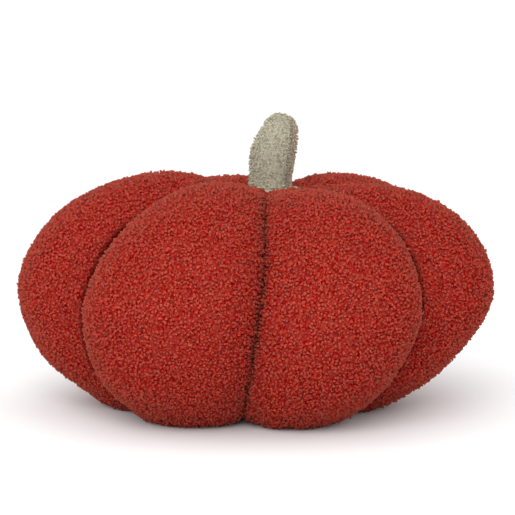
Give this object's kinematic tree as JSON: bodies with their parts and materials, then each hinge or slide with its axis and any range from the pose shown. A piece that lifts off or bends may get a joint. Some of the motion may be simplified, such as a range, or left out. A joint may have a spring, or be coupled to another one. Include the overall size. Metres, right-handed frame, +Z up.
{
  "type": "fabric pumpkin",
  "caption": "Stuffed looped-pile cloth pumpkin with swelling lobes between drawn-in seams and a leaning stuffed stem on a round cloth patch.",
  "frame": {"origin": "middle of the part's outline seen from above, on the surface that it stands on", "axes": "+Z up through the stem, the front towards -Y, and +X towards the side that the stem leans to"},
  "size_m": [0.3994, 0.3804, 0.2465],
  "materials": {
    "rust_pile": "matte looped pile",
    "greige_pile": "matte looped pile"
  },
  "bodies": {
    "root": {"lobe_front_right": "rust_pile", "lobe_side_right": "rust_pile", "lobe_back_right": "rust_pile", "lobe_back_left": "rust_pile", "lobe_side_left": "rust_pile", "lobe_front_left": "rust_pile", "stem_patch": "greige_pile", "stem": "greige_pile"}
  },
  "joints": []
}
